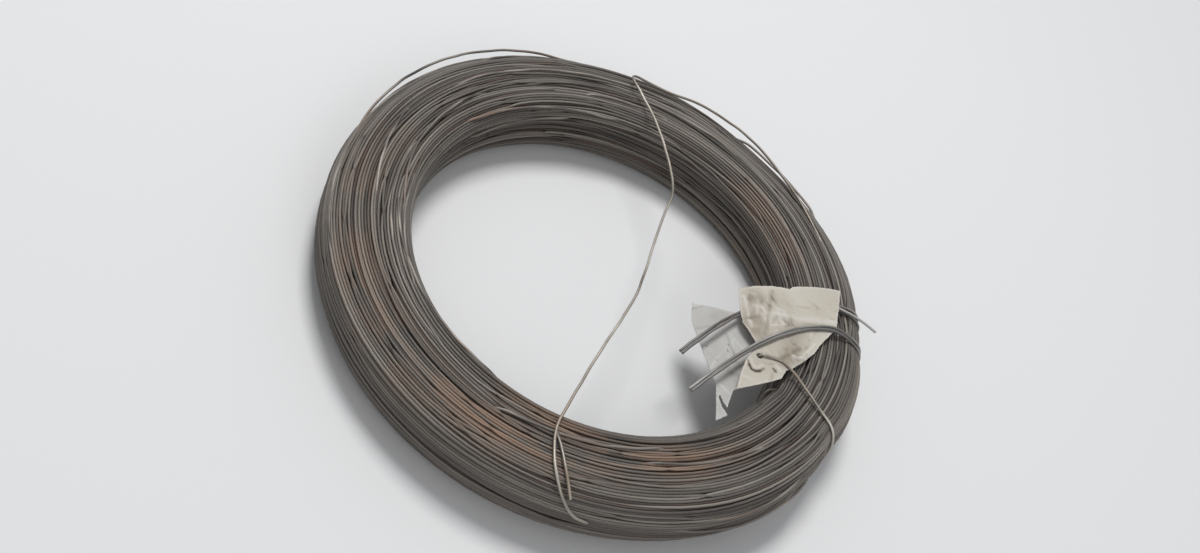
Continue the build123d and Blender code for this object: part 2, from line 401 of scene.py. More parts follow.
def on_section(place, depth):
    """Radius and height at a place along the section's outline and a depth under it."""
    share = np.mod(place, section_length) / section_length * (section_table.shape[1] - 1)
    index = np.arange(section_table.shape[1])
    r, z, normal_r, normal_z = (np.interp(share, index, row) for row in section_table)
    return np.stack([r - normal_r * depth, z - normal_z * depth], axis=-1)


def band_table():
    """Places along the section's outline, and the solid's depth there."""
    straight = 2 * (outer_radius - bore_radius - inner_corner - outer_corner)
    straight += 2 * plain_bore_margin + 2 * (coil_top - outer_corner)
    length = straight + np.pi * (inner_corner + outer_corner)
    count = round(length / band_pitch)
    shares = 1 + band_unevenness * np.sin(band_beat * np.arange(count) + band_start)
    grooves = length * np.cumsum(shares)[:-1] / shares.sum()
    crests = (grooves[1:] + grooves[:-1]) / 2
    knots = np.concatenate([[0], np.sort(np.concatenate([grooves, crests])), [length]])
    depths = np.concatenate([[0], np.tile([band_relief, 0], count - 1)])
    head = coil_top - inner_corner - plain_bore_margin
    return head + length - knots[::-1], depths[::-1]


band_places, band_depths = band_table()
middle_radius = (outer_radius + bore_radius) / 2


def place_on_section(points):
    """Place along the outline next to each (radius, height) point."""
    turn = np.mod(np.pi - np.arctan2(section_table[1], section_table[0] - middle_radius), 2 * np.pi)
    turn[-1] = 2 * np.pi
    angle = np.mod(np.pi - np.arctan2(points[:, 1], points[:, 0] - middle_radius), 2 * np.pi)
    return np.interp(angle, turn, np.linspace(0, section_length, len(turn)))


def depth_in_section(points):
    """Depth of each point under the section's outline, and the outline's normal there."""
    middle = np.array([middle_radius, 0.0])
    half = np.array([(outer_radius - bore_radius) / 2, coil_top])
    place = points - middle
    radius = np.where(place[:, 0] > 0, outer_corner, inner_corner)
    past = np.abs(place) - half + radius[:, None]
    corner = np.maximum(past, 0)
    corner_length = np.linalg.norm(corner, axis=1)
    depth = radius - corner_length - np.minimum(past.max(axis=1), 0)
    flat = np.eye(2)[past.argmax(axis=1)]
    normal = np.where(corner_length[:, None] > 0, corner, flat)
    normal = normal / np.linalg.norm(normal, axis=1)[:, None] * np.sign(place)
    return depth, normal


def even_azimuths():
    """Azimuths of the sections, in radians, closer together at the ties."""
    fine = np.linspace(-np.pi, np.pi, fine_count)
    density = np.ones_like(fine)
    for azimuth in tie_azimuths:
        density += crowding * bell(fine, radians(azimuth), crowding_spread)
    total = np.concatenate([[0], np.cumsum((density[1:] + density[:-1]) / 2)])
    steps = np.linspace(0, total[-1], azimuth_count, endpoint=False)
    return np.interp(steps, total, fine)


azimuths = even_azimuths()


def azimuths_of(chain):
    """Azimuth of each point of a chain, in radians."""
    return azimuths[np.arange(len(chain)) % azimuth_count]


def wave_number(wavelength, rng):
    """How often a wave of about this length goes round the section."""
    return round(section_length / (wavelength * MM * rng.uniform(*wavelength_range)))


def bundling(place, azimuth, rng):
    """Shift along the outline that gathers the turns into bundles."""
    shift = np.zeros_like(place)
    for wavelength, slope, size, count in bundle_waves:
        for _ in range(count):
            number = wave_number(wavelength, rng)
            drift = rng.integers(-slope, slope + 1)
            phase = rng.uniform(0, 2 * np.pi)
            angle = 2 * np.pi * number * place / section_length + drift * azimuth + phase
            shift += size * MM * np.sin(angle)
    return shift


def smooth_noise(count, step, rng):
    """Random numbers that change slowly along a chain, with a new one each step."""
    knots = rng.normal(size=count // step + 4)
    x = np.arange(count) / step + 1 + rng.uniform()
    whole = x.astype(int)
    t = x - whole
    a, b, c, d = (knots[np.clip(whole + k, 0, len(knots) - 1)] for k in (-1, 0, 1, 2))
    return b + 0.5 * t * (c - a + t * (2 * a - 5 * b + 4 * c - d + t * (3 * (b - c) + d - a)))


def tie_dip(azimuth):
    """How far the turns are pulled in under the ties."""
    dips = [bell(azimuth, radians(tie), tie_dip_spread) for tie in tie_azimuths]
    return tie_dip_depth * np.max(dips, axis=0)


def dent(place, azimuth):
    """Depth of the hollow in the outer edge at the back right."""
    along = bell(azimuth, radians(dent_azimuth), dent_spread)
    return dent_depth * along * bell(place, dent_place, dent_width)


def swelling(place, azimuth):
    """How far the outer side stands out on both sides of the tag tie, which pulls it in."""
    along = sum(
        size * MM * bell(azimuth, radians(centre), radians(spread))
        for centre, spread, size in swellings
    )
    return along * bell(place, swelling_place, swelling_width)


def near_pairs(points):
    """Pairs of wire points of the same azimuth that lie near each other."""
    found = []
    for j in range(azimuth_count):
        column = points[j::azimuth_count]
        apart = np.linalg.norm(column[:, None] - column[None], axis=2)
        a, b = np.nonzero(np.triu(apart < near_reach, 1))
        found.append(np.stack([a, b]) * azimuth_count + j)
    return np.concatenate(found, axis=1)


def push_apart(points, pairs):
    """Move wire points that lie in each other away from each other."""
    a, b = pairs
    apart = points[a] - points[b]
    distance = np.maximum(np.linalg.norm(apart, axis=1), least_distance)
    push = np.maximum(wire_gap - distance, 0) / distance * push_share / 2
    for axis in range(2):
        move = push * apart[:, axis]
        points[:, axis] += np.bincount(a, move, len(points)) - np.bincount(b, move, len(points))


def first_chain(layer, rng):
    """Random chain of a layer, and the depth that each of its points tends to."""
    depth = wire_radius + layer * layer_step
    turns = int(layer_fill[layer] * (section_length - 2 * np.pi * depth) / (2 * wire_radius))
    count = turns * azimuth_count
    index = np.arange(count)
    azimuth = azimuths[index % azimuth_count]
    place = section_length * index / count
    wander = smooth_noise(count, azimuth_count // 3, rng) * wander_size * MM
    bold = np.clip(smooth_noise(count, azimuth_count * 2, rng) - bold_from, 0, 1)
    wander += smooth_noise(count, azimuth_count // 5, rng) * bold * bold_wander * MM
    place = place + bundling(place, azimuth, rng)
    place = place + wander
    lift = smooth_noise(count, azimuth_count // 4, rng) * lift_size * MM - bold * bold_lift * MM
    pulled_in = tie_dip(azimuth) - swelling(place, azimuth)
    return on_section(place, depth + lift + pulled_in), np.full(count, depth) + lift


def band_waves(place, azimuth):
    """How strong the bands are at each point, and how far they lie aside there."""
    strength = band_strength + strength_wave * np.sin(2 * azimuth + 90 * place) * np.sin(55 * place)
    return strength, band_sway * np.sin(3 * azimuth + 40 * place)


def relax(points, depths, ends):
    """Move the chains until their wires lie beside each other and under the outline."""
    start = points.copy()
    azimuth = azimuths_of(points)
    dip = tie_dip(azimuth)
    strength, sway = band_waves(place_on_section(points), azimuth)
    inner = np.ones(len(points))
    inner[[0, *ends[:-1], *(ends - 1)]] = 0
    for step in range(relax_steps):
        if step % near_every == 0:
            pairs = near_pairs(points)
        push_apart(points, pairs)
        smooth = (np.roll(points, 1, axis=0) + np.roll(points, -1, axis=0)) / 2
        points += smooth_share * inner[:, None] * (smooth - points)
        if step < start_steps:
            points += start_share * (start - points)
        depth, normal = depth_in_section(points)
        if step % inset_every == 0:
            place = place_on_section(points)
            band = strength * np.interp(place + sway, band_places, band_depths, 0, 0)
            band += dent(place, azimuth)
            inset = np.maximum(dip, band) - swelling(place, azimuth)
        short = np.maximum(wire_radius + inset - depth, 0)
        sink = sink_share * np.clip(depths + inset - depth, -MM, MM)
        points -= normal * (short + sink)[:, None]


def wind_turns():
    """Centre lines of the turns near the surface, as (radius, height) chains, one for each layer.

    Each layer is one chain that goes round the coil once a turn, once round the section and
    ends where it starts.
    """
    rng = np.random.default_rng(seed)
    chains, depths = zip(*[first_chain(layer, rng) for layer in range(len(layer_fill))])
    points = np.concatenate(chains)
    ends = np.cumsum([len(chain) for chain in chains])
    relax(points, np.concatenate(depths), ends)
    return [np.append(chain, chain[:1], axis=0) for chain in np.split(points, ends[:-1])]


def tube_frames(line):
    """Two directions across a line at each point, without twist along it."""
    along = np.gradient(line, axis=0)
    along /= np.linalg.norm(along, axis=1)[:, None]
    up = np.zeros_like(along)
    first = np.cross(along[0], off_line)
    up[0] = first / np.linalg.norm(first)
    for i in range(1, len(line)):
        carried = up[i - 1] - along[i] * (up[i - 1] @ along[i])
        up[i] = carried / np.linalg.norm(carried)
    return up, np.cross(along, up)


def coil_frames(chain):
    """Directions across a turn: outward from the coil's axis, and up."""
    azimuth = azimuths_of(chain)
    outward = np.stack([np.cos(azimuth), np.sin(azimuth), np.zeros_like(azimuth)], axis=1)
    return outward, np.broadcast_to((0.0, 0.0, 1.0), outward.shape)


def to_space(chain):
    """Points in space of a (radius, height) chain."""
    outward, up = coil_frames(chain)
    return chain[:, :1] * outward + chain[:, 1:] * up


def tube_data(line, frames, sides):
    """Vertices and quads of a wire along a line."""
    turn = 2 * np.pi * np.arange(sides) / sides
    ring = np.cos(turn)[:, None] * frames[0][:, None] + np.sin(turn)[:, None] * frames[1][:, None]
    vertices = (line[:, None] + wire_radius * ring).reshape(-1, 3)
    start = np.arange(len(line) - 1)[:, None] * sides
    side = np.arange(sides)
    after = (side + 1) % sides
    quads = np.stack([start + side, start + after, start + sides + after, start + sides + side], axis=2)
    return vertices, quads.reshape(-1, 4)


def add_object(name, data):
    """Object of a mesh, lamp or camera, in the scene."""
    made = bpy.data.objects.new(name, data)
    bpy.context.scene.collection.objects.link(made)
    return made


def smooth_object(name, vertices, faces, **values):
    """Object of a smooth mesh with values at its points."""
    mesh = bpy.data.meshes.new(name)
    mesh.from_pydata(vertices.tolist(), [], faces)
    mesh.shade_smooth()
    for key, value in values.items():
        attribute = mesh.attributes.new(key, "FLOAT", "POINT")
        attribute.data.foreach_set("value", value.astype(np.float32))
    return add_object(name, mesh)


def wires_object(name, lines, sides, values, frames=None):
    """One object of several wires. values has arrays by name, one for each line."""
    vertices, quads, caps = [], [], []
    offset = 0
    for number, line in enumerate(lines):
        across = frames[number] if frames else tube_frames(line)
        points, faces = tube_data(line, across, sides)
        vertices.append(points)
        quads += (faces + offset).tolist()
        caps.append(list(range(offset + sides - 1, offset - 1, -1)))
        offset += len(points)
        caps.append(list(range(offset - sides, offset)))
    at_points = {key: np.repeat(np.concatenate(rows), sides) for key, rows in values.items()}
    return smooth_object(name, np.concatenate(vertices), quads + caps, **at_points)


def stand_in(piece, material, node):
    """Give a piece its material and body, in place of a CAD node, which is hidden."""
    piece.data.materials.append(material)
    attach(piece, "root")
    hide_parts(node)


def route_line(points):
    """Points along the smooth line of a route."""
    data = bpy.data.curves.new("route", "CURVE")
    data.dimensions = "3D"
    spline = data.splines.new("NURBS")
    spline.points.add(len(points) - 1)
    for target, point in zip(spline.points, points):
        target.co = (*point, 1.0)
    spline.order_u = 3
    spline.use_endpoint_u = True
    spline.resolution_u = 10
    holder = bpy.data.objects.new("route", data)
    mesh = bpy.data.meshes.new_from_object(holder)
    line = np.array([vertex.co for vertex in mesh.vertices])
    bpy.data.objects.remove(holder)
    return line


def even_steps(line):
    """The same line with its points at even steps."""
    length = lengths_along(line)
    places = np.linspace(0, length[-1], max(4, int(length[-1] / wire_step)))
    return np.stack([np.interp(places, length, column) for column in line.T], axis=1)


def handled(line, rng, bend_size):
    """Wire line as hands leave it: smoothed a little and with slight bends along it."""
    line = even_steps(line)
    for _ in range(smoothing_rounds):
        line[1:-1] += 0.5 * ((line[2:] + line[:-2]) / 2 - line[1:-1])
    fade = np.minimum(1, np.arange(len(line)) / fade_steps)[:, None]
    bends = np.stack([smooth_noise(len(line), bend_steps, rng) for _ in range(3)], axis=1)
    return line + bend_size * fade * fade[::-1] * bends


def radial_point(azimuth, radius, aside, height):
    """Point at a radius in the upright plane of an azimuth, and aside of that plane."""
    x, y = cos(radians(azimuth)), sin(radians(azimuth))
    return np.array([radius * x + aside * y, radius * y - aside * x, height])


def beside_tie(azimuth, steps):
    """Points stated in millimetres inward of the bore wall, aside and above the top."""
    return [
        radial_point(azimuth, bore_radius - inward * MM, aside * MM, coil_top + above * MM)
        for inward, aside, above in steps
    ]


def in_millimetres(steps):
    """Points stated by azimuth, distance from the coil's axis and height, in millimetres."""
    return [radial_point(azimuth, radius * MM, 0.0, height * MM) for azimuth, radius, height in steps]


def around_coil(radius, steps):
    """Points stated by azimuth, millimetres out from a radius, and above the coil's top."""
    return [
        radial_point(azimuth, radius + out * MM, 0.0, coil_top + above * MM)
        for azimuth, out, above in steps
    ]


def shifted_aside(points, offset):
    """Route at a level distance to the right of a route, without its last point."""
    shifted = []
    for index, point in enumerate(points[:-1]):
        along = points[index + 1] - points[max(index - 1, 0)]
        aside = np.array([along[1], -along[0], 0.0])
        shifted.append(point + aside / np.linalg.norm(aside) * offset)
    return shifted


def bowed(past, bows):
    """How far aside a strand lies at places past the end of the coil's flat top."""
    return sum(size * MM * bell(past / MM, middle, spread) for size, middle, spread in bows)


def around_section(azimuth, offset, bows, start_radius, start_height, end_radius):
    """Line from a start above the coil over its outer edge and round the section to an end."""
    bend = outer_corner - strand_depth
    centre = np.array([outer_radius - outer_corner, coil_top - outer_corner])
    towards = centre - (start_radius, start_height)
    slope = atan2(towards[1], towards[0]) + asin(bend / np.linalg.norm(towards))
    head = coil_top - inner_corner + np.pi / 2 * inner_corner
    top_end = head + outer_radius - outer_corner - bore_radius - inner_corner
    first = top_end - outer_corner * slope
    last = section_length + head + end_radius - bore_radius - inner_corner
    places = np.linspace(first, last, loop_count)
    tucked = np.clip((places - last) / tuck_length + 1, 0, 1) ** 2 * tuck_depth * MM
    section = on_section(places, strand_depth + tucked)
    aside = offset + bowed(places - top_end, bows)
    return [radial_point(azimuth, r, side, z) for (r, z), side in zip(section, aside)]


def tie_line(azimuth, offset, tail, descent, top_gap, rng, overlap=end_overlap, bows=no_bows):
    """Centre line of a strand that has a tail and goes once round the section."""
    start = (outer_radius - descent * MM, coil_top + top_gap * MM)
    middle = beside_tie(azimuth, tail) + [radial_point(azimuth, start[0], 0.0, start[1])]
    aside = offset + bowed(outer_corner - descent * MM, bows)
    first = shifted_aside(middle, offset) + [radial_point(azimuth, start[0], aside, start[1])]
    loop = around_section(azimuth, offset, bows, *start, bore_radius + overlap)
    tail_line = route_line(first + [loop[0]])
    return handled(np.concatenate([tail_line[:-1], loop]), rng, tie_bends)


def wire_piece(name, lines, rng, material, node, tones=None):
    """Wires along lines, as one piece for a CAD node. tones has one for each line."""
    tones = tones or [middle_tone] * len(lines)
    values = {
        "tone": [base + 0.2 * smooth_noise(len(line), 14, rng) for base, line in zip(tones, lines)],
        "along": [np.arange(len(line)) * wire_step for line in lines],
        "turn": [np.full(len(line), 3.7 * number) for number, line in enumerate(lines)],
        "rust": [np.clip(0.1 + 0.3 * smooth_noise(len(line), 30, rng), 0, 1) for line in lines],
    }
    stand_in(wires_object(name, lines, loose_wire_sides, values), material, node)


def short_end(steps, rng):
    """Line of a short end of wire, stated as in_millimetres takes it."""
    return handled(route_line(in_millimetres(steps)), rng, short_bends)


def tie_pieces(material, bright):
    """The doubled ties, the free tip beside the first, and the tag tie."""
    rng = np.random.default_rng(seed + 2)
    for number, (azimuth, tail, gap, (size, middle, spread)) in enumerate(double_ties, 1):
        lines = []
        for side in (-1, 1):
            bows = [(side * size, middle, spread)]
            offset = side * half_spacing
            lines.append(tie_line(azimuth, offset, tail, double_tie_descent, gap, rng, bows=bows))
        tones = [middle_tone] * 2
        if number == 1:
            lines.append(short_end(tie_tip, rng))
            tones.append(tip_tone)
        node = f"tie_wire_{number}"
        wire_piece(node + "_strands", lines, rng, material, node, tones)
    line = tie_line(
        tag_tie_azimuth, 0.0, tag_hook, tag_tie_descent, lying_height, rng, tag_end_overlap, tag_tie_bows
    )
    wire_piece("tag_tie_wire", [line], rng, bright, "tag_tie")


def loose_end_piece(material):
    """The last turn of the wire: sprung off the back, hooked, led over the bore and wrapped."""
    rng = np.random.default_rng(seed + 3)
    route = around_coil(outer_radius, loose_turn) + around_coil(bore_radius, crossing_run)
    route += around_coil(outer_radius, front_wrap)
    line = handled(route_line(route), rng, loose_bends)
    strand = short_end(front_strand, rng)
    ramped_by_distance = np.interp(np.arange(len(line)) * wire_step, loose_tone_places, loose_tones)
    tones = [ramped_by_distance, middle_tone]
    wire_piece("loose_end_wire", [line, strand], rng, material, "loose_end", tones)


def crossing_turn(rng):
    """Turn that crosses over its neighbours and has both ends under them."""
    span = rng.uniform(*crossing_spans)
    first, last = crossing_azimuths
    start = rng.uniform(first, last - span)
    share = np.linspace(0, 1, crossing_points)
    azimuth = start + span * share
    place = (rng.uniform(*crossing_places) + rng.uniform(-crossing_slant, crossing_slant) * share) * MM
    lift = np.clip(np.sin(np.pi * share) * crossing_steepness, 0, 1)
    band = np.interp(place, band_places, band_depths)
    depth = wire_radius + crossing_band_share * band + crossing_end_depth - crossing_rise * lift
    section = on_section(place, depth)
    return np.array([radial_point(turn, r, 0.0, z) for turn, (r, z) in zip(azimuth, section)])


def stray_piece(material):
    """Turns that stand off the coil or cross the others."""
    rng = np.random.default_rng(seed + 4)
    lines = [route_line(in_millimetres(turn)) for turn in stray_turns]
    lines += [crossing_turn(rng) for _ in range(crossing_count)]
    lines = [handled(line, rng, loose_bends) for line in lines]
    wire_piece("stray_turns", lines, rng, material, "wire_coil")


def inside_outline(points, outline):
    """Which points lie inside a closed outline."""
    inside = np.zeros(len(points), bool)
    for (x0, y0), (x1, y1) in zip(outline, np.roll(outline, -1, axis=0)):
        if y0 == y1:
            continue
        spans = (points[:, 1] > min(y0, y1)) & (points[:, 1] <= max(y0, y1))
        cross = x0 + (points[:, 1] - y0) / (y1 - y0) * (x1 - x0)
        inside ^= spans & (points[:, 0] < cross)
    return inside


def run_distance(points, start, end):
    """Distance of each point from a straight run."""
    run = end - start
    share = np.clip((points - start) @ run / (run @ run), 0, 1)
    return np.linalg.norm(points - start - share[:, None] * run, axis=1)


def rim_distance(points, outline):
    """Distance of each point from an outline's nearest edge."""
    edges = zip(outline, np.roll(outline, -1, axis=0))
    return np.min([run_distance(points, start, end) for start, end in edges], axis=0)


def resampled(outline):
    """Points along a closed outline, its corners included."""
    points = []
    for start, end in zip(outline, np.roll(outline, -1, axis=0)):
        count = max(1, round(np.linalg.norm(end - start) / card_grid))
        points += [start + (end - start) * n / count for n in range(count)]
    return np.array(points)


def card_grid_points(outline, frayed, rng):
    """Points all over a card, not quite even, that keep off its rim and its hole."""
    low, high = outline.min(axis=0), outline.max(axis=0)
    columns, rows = (np.arange(low[axis], high[axis], card_grid) for axis in range(2))
    grid = np.stack(np.meshgrid(columns, rows), axis=-1)
    grid = grid.reshape(-1, 2) + rng.uniform(-grid_jitter, grid_jitter, (grid.size // 2, 2)) * card_grid
    keep = inside_outline(grid, frayed) & (rim_distance(grid, frayed) > rim_margin * card_grid)
    keep &= np.linalg.norm(grid, axis=1) > tag_hole_radius + rim_margin * card_grid
    return grid[keep]


def card_mesh_data(outline, rng):
    """Flat points and triangles of a card with its hole, in millimetres."""
    rim = resampled(outline)
    frayed = rim + rng.normal(size=rim.shape) * fray
    turn = 2 * np.pi * np.arange(hole_corners) / hole_corners
    hole = tag_hole_radius * np.stack([np.cos(turn), np.sin(turn)], axis=1)
    points = np.concatenate([frayed, hole, card_grid_points(outline, frayed, rng)])
    edges = [(n, (n + 1) % len(rim)) for n in range(len(rim))]
    edges += [(len(rim) + n, len(rim) + (n + 1) % len(hole)) for n in range(len(hole))]
    flat = [Vector(point) for point in points]
    vertices, _, triangles, *_ = delaunay_2d_cdt(flat, edges, [], 0, 1e-4)
    vertices, triangles = np.array(vertices), np.array(triangles)
    centres = vertices[triangles].mean(axis=1)
    kept = inside_outline(centres, frayed) & (np.linalg.norm(centres, axis=1) > tag_hole_radius * 0.98)
    return vertices, triangles[kept]


def creases(points, rng, folds):
    """Height of random folds across a sheet, and marks of their ridges and grooves for painted highlight
    and shade.
    """
    height, mark = np.zeros(len(points)), np.zeros(len(points))
    for centre, spread, count, size, width in folds:
        for _ in range(count):
            place = np.array(centre) + rng.normal(size=2) * spread
            turn = rng.uniform(0, np.pi)
            across = (points - place) @ (np.cos(turn), np.sin(turn))
            beside = (points - place) @ (-np.sin(turn), np.cos(turn))
            ridge = np.maximum(0, 1 - np.abs(across) / width) * bell(beside, 0, fold_length * spread)
            strength = rng.uniform(-1, 1)
            height += size * strength * ridge
            if width < wide_bend:
                mark += strength * ridge**2
    return height, mark


def routed_folds(points, rows):
    """Height of folds and tears along routes, and marks of their ridges and grooves for painted highlight
    and shade, and of tears for painted shadow.
    """
    height, mark = np.zeros(len(points)), np.zeros(len(points))
    for route, size, depth, width in rows:
        runs = zip(np.array(route[:-1]), np.array(route[1:]))
        ridge = np.maximum(0, 1 - np.min([run_distance(points, *run) for run in runs], axis=0) / width)
        height += size * ridge
        mark += depth * ridge
    return height, mark


def spots(points, places):
    """Soft round spots on a sheet, added up."""
    total = np.zeros(len(points))
    for x, y, spread, strength in places:
        total += strength * np.exp(-(((points - (x, y)) / spread) ** 2).sum(axis=1))
    return total


def card_piece(card, material, outline, plane, shape):
    """Card tag as a thin creased sheet, on the plane of its CAD node."""
    name = f"{card}_tag_sheet"
    rng = np.random.default_rng(seed + len(name))
    outline = np.array(outline, float)
    flat, triangles = card_mesh_data(outline, rng)
    origin, x_axis, y_axis, z_axis = plane
    height, mark, stain = shape(flat, rng)
    space = origin + (flat[:, :1] * x_axis + flat[:, 1:] * y_axis + height[:, None] * z_axis) * MM
    rim = rim_distance(flat, outline)
    piece = smooth_object(name, space, triangles.tolist(), rim=rim, mark=mark, stain=stain)
    solid = piece.modifiers.new("thickness", "SOLIDIFY")
    solid.thickness = card_thickness
    solid.offset = 0.0
    stand_in(piece, material, f"{card}_tag")


def on_card(line, plane):
    """A line's points in a card's plane: across, along and above, in millimetres."""
    origin, *axes = plane
    return np.stack([(line - origin) @ axis for axis in axes], axis=1) / MM


def line_distance(points, line):
    """Distance of each flat point from a line's nearest point."""
    return np.linalg.norm(points[:, None] - line[None, :, :2], axis=2).min(axis=1)


def card_plane(top, heading=0.0, tilt=0.0):
    """Middle of a card's hole, and the card's directions: across, along and up."""
    heading, tilt = radians(heading), radians(tilt)
    hole = beside_tie(tag_tie_azimuth, [(tag_hole_inset, tag_hole_aside, top)])[0]
    x_axis = np.array([cos(heading), sin(heading), 0.0])
    z_axis = np.array([sin(heading) * sin(tilt), -cos(heading) * sin(tilt), cos(tilt)])
    return hole - z_axis * half_tag * MM, x_axis, np.cross(z_axis, x_axis), z_axis


cream_plane = card_plane(cream_tag_height + 2 * half_tag)
white_plane = card_plane(-white_tag_drop, white_tag_heading, white_tag_tilt)


def cream_shape(points, rng):
    """Bends and creases of the cream card, held down by the second tie and up by the first."""
    line_rng = np.random.default_rng(0)
    under, over = (
        tie_line(azimuth, 0.0, tail, double_tie_descent, gap, line_rng)
        for azimuth, tail, gap, _ in double_ties
    )
    above = line_distance(points, on_card(over, cream_plane))
    below = line_distance(points, on_card(under, cream_plane))
    height = wave_height * np.sin(points[:, 0] * 0.11 + 0.6) * np.sin(points[:, 1] * 0.07 + 0.4)
    folds, mark = creases(points, rng, cream_folds)
    runs, run_mark = routed_folds(points, cream_runs)
    free = np.clip((above - held_width) / freeing_width, 0, 1)
    height = (height + folds + runs) * free + free_lift * free
    floor = np.where(below < carried_width, carried_low, free_low)
    height = np.minimum(np.maximum(height, floor), free_lift + free_high * free)
    return height, mark + run_mark, spots(points, cream_stains)


def white_shape(points, rng):
    """Slight bends of the white card and the kink near its upper end."""
    folds, mark = creases(points, rng, white_folds)
    runs, run_mark = routed_folds(points, white_runs)
    kink = (points - white_outline[1]) @ (cos(kink_heading), sin(kink_heading))
    height = wave_height * np.sin(points[:, 0] * 0.06) + folds + runs
    height -= kink_slope * np.clip(-kink, 0, kink_width)
    return np.clip(height, *white_heights), mark + run_mark, spots(points, white_stains)


def node_maker(owner):
    """Function that adds a node to a material or world with its settings and links."""
    tree = owner.node_tree

    def add(kind, inputs=None, **settings):
        node = tree.nodes.new(kind)
        for key, value in settings.items():
            setattr(node, key, value)
        for key, value in (inputs or {}).items():
            socket = node.inputs[key]
            if isinstance(value, bpy.types.NodeSocket):
                tree.links.new(value, socket)
            else:
                socket.default_value = value
        return node

    return add


def point_value(add, name):
    """Socket of a value that the mesh gives each point."""
    return add("ShaderNodeAttribute", attribute_name=name).outputs["Fac"]


def noise(add, place, scale, detail, roughness=0.5):
    """Socket of a cloudy noise from 0 to 1."""
    inputs = {"Vector": place, "Scale": scale, "Detail": detail, "Roughness": roughness}
    return add("ShaderNodeTexNoise", inputs).outputs["Fac"]


def maths(add, operation, *values, clamp=False):
    """Socket of a sum, product or other operation on values."""
    node = add("ShaderNodeMath", dict(enumerate(values)), operation=operation, use_clamp=clamp)
    return node.outputs[0]


def mapped(add, value, low, high, to_low=0.0, to_high=1.0):
    """Socket of a value moved from one range to another, and kept in it."""
    inputs = {"Value": value, "From Min": low, "From Max": high, "To Min": to_low, "To Max": to_high}
    return add("ShaderNodeMapRange", inputs).outputs[0]


def blend(add, share, first, second):
    """Socket of a colour between two."""
    return add("ShaderNodeMix", {0: share, 6: first, 7: second}, data_type="RGBA").outputs[2]


def surface(add, colour, roughness, metallic, height, relief):
    """Shader of the surface with fine relief, linked to the material's output."""
    bump = add("ShaderNodeBump", {"Height": height, "Strength": relief, "Distance": bump_distance})
    inputs = {"Base Color": colour, "Roughness": roughness, "Metallic": metallic}
    shader = add("ShaderNodeBsdfPrincipled", {**inputs, "Normal": bump.outputs[0]})
    add("ShaderNodeOutputMaterial", {"Surface": shader.outputs[0]})


def srgb(red, green, blue):
    """Linear colour of an sRGB one in 0 to 255."""
    channels = [c / 255 for c in (red, green, blue)]
    return tuple(c / 12.92 if c <= 0.04045 else ((c + 0.055) / 1.055) ** 2.4 for c in channels) + (1.0,)


def new_material(name):
    """Empty node material, and the function that adds its nodes."""
    material = bpy.data.materials.new(name)
    material.use_nodes = True
    material.node_tree.nodes.clear()
    return material, node_maker(material)


def wire_material(name, dark, middle, light, rust, roughness, metallic):
    """Annealed wire: tone differs from turn to turn and along it, with rust in patches."""
    material, add = new_material(name)
    coordinates = {"X": point_value(add, "along"), "Y": point_value(add, "turn"), "Z": 0.0}
    streak = noise(add, add("ShaderNodeCombineXYZ", coordinates).outputs[0], scale=14.0, detail=4.0)
    place = add("ShaderNodeTexCoord").outputs["Object"]
    patch = noise(add, place, scale=26.0, detail=4.0)
    grain = noise(add, place, scale=900.0, detail=3.0)
    tone = maths(add, "MULTIPLY", point_value(add, "tone"), 0.6)
    tone = maths(add, "MULTIPLY_ADD", streak, 0.5, tone)
    tone = maths(add, "MULTIPLY_ADD", grain, 0.25, tone)
    ramp = add("ShaderNodeValToRGB", {"Fac": tone})
    steps = ramp.color_ramp.elements
    steps.new(0.68)
    for step, position, colour in zip(steps, (0.4, 0.68, 0.95), (dark, middle, light)):
        step.position = position
        step.color = srgb(*colour)
    rusty = mapped(add, maths(add, "MULTIPLY", patch, streak), 0.16, 0.28, to_high=0.8)
    rusty = maths(add, "MULTIPLY", rusty, point_value(add, "rust"))
    colour = blend(add, rusty, ramp.outputs[0], srgb(*rust))
    rough = mapped(add, streak, 0.0, 1.0, to_low=roughness - 0.1, to_high=roughness + 0.12)
    surface(add, colour, rough, metallic, grain, relief=0.25)
    return material


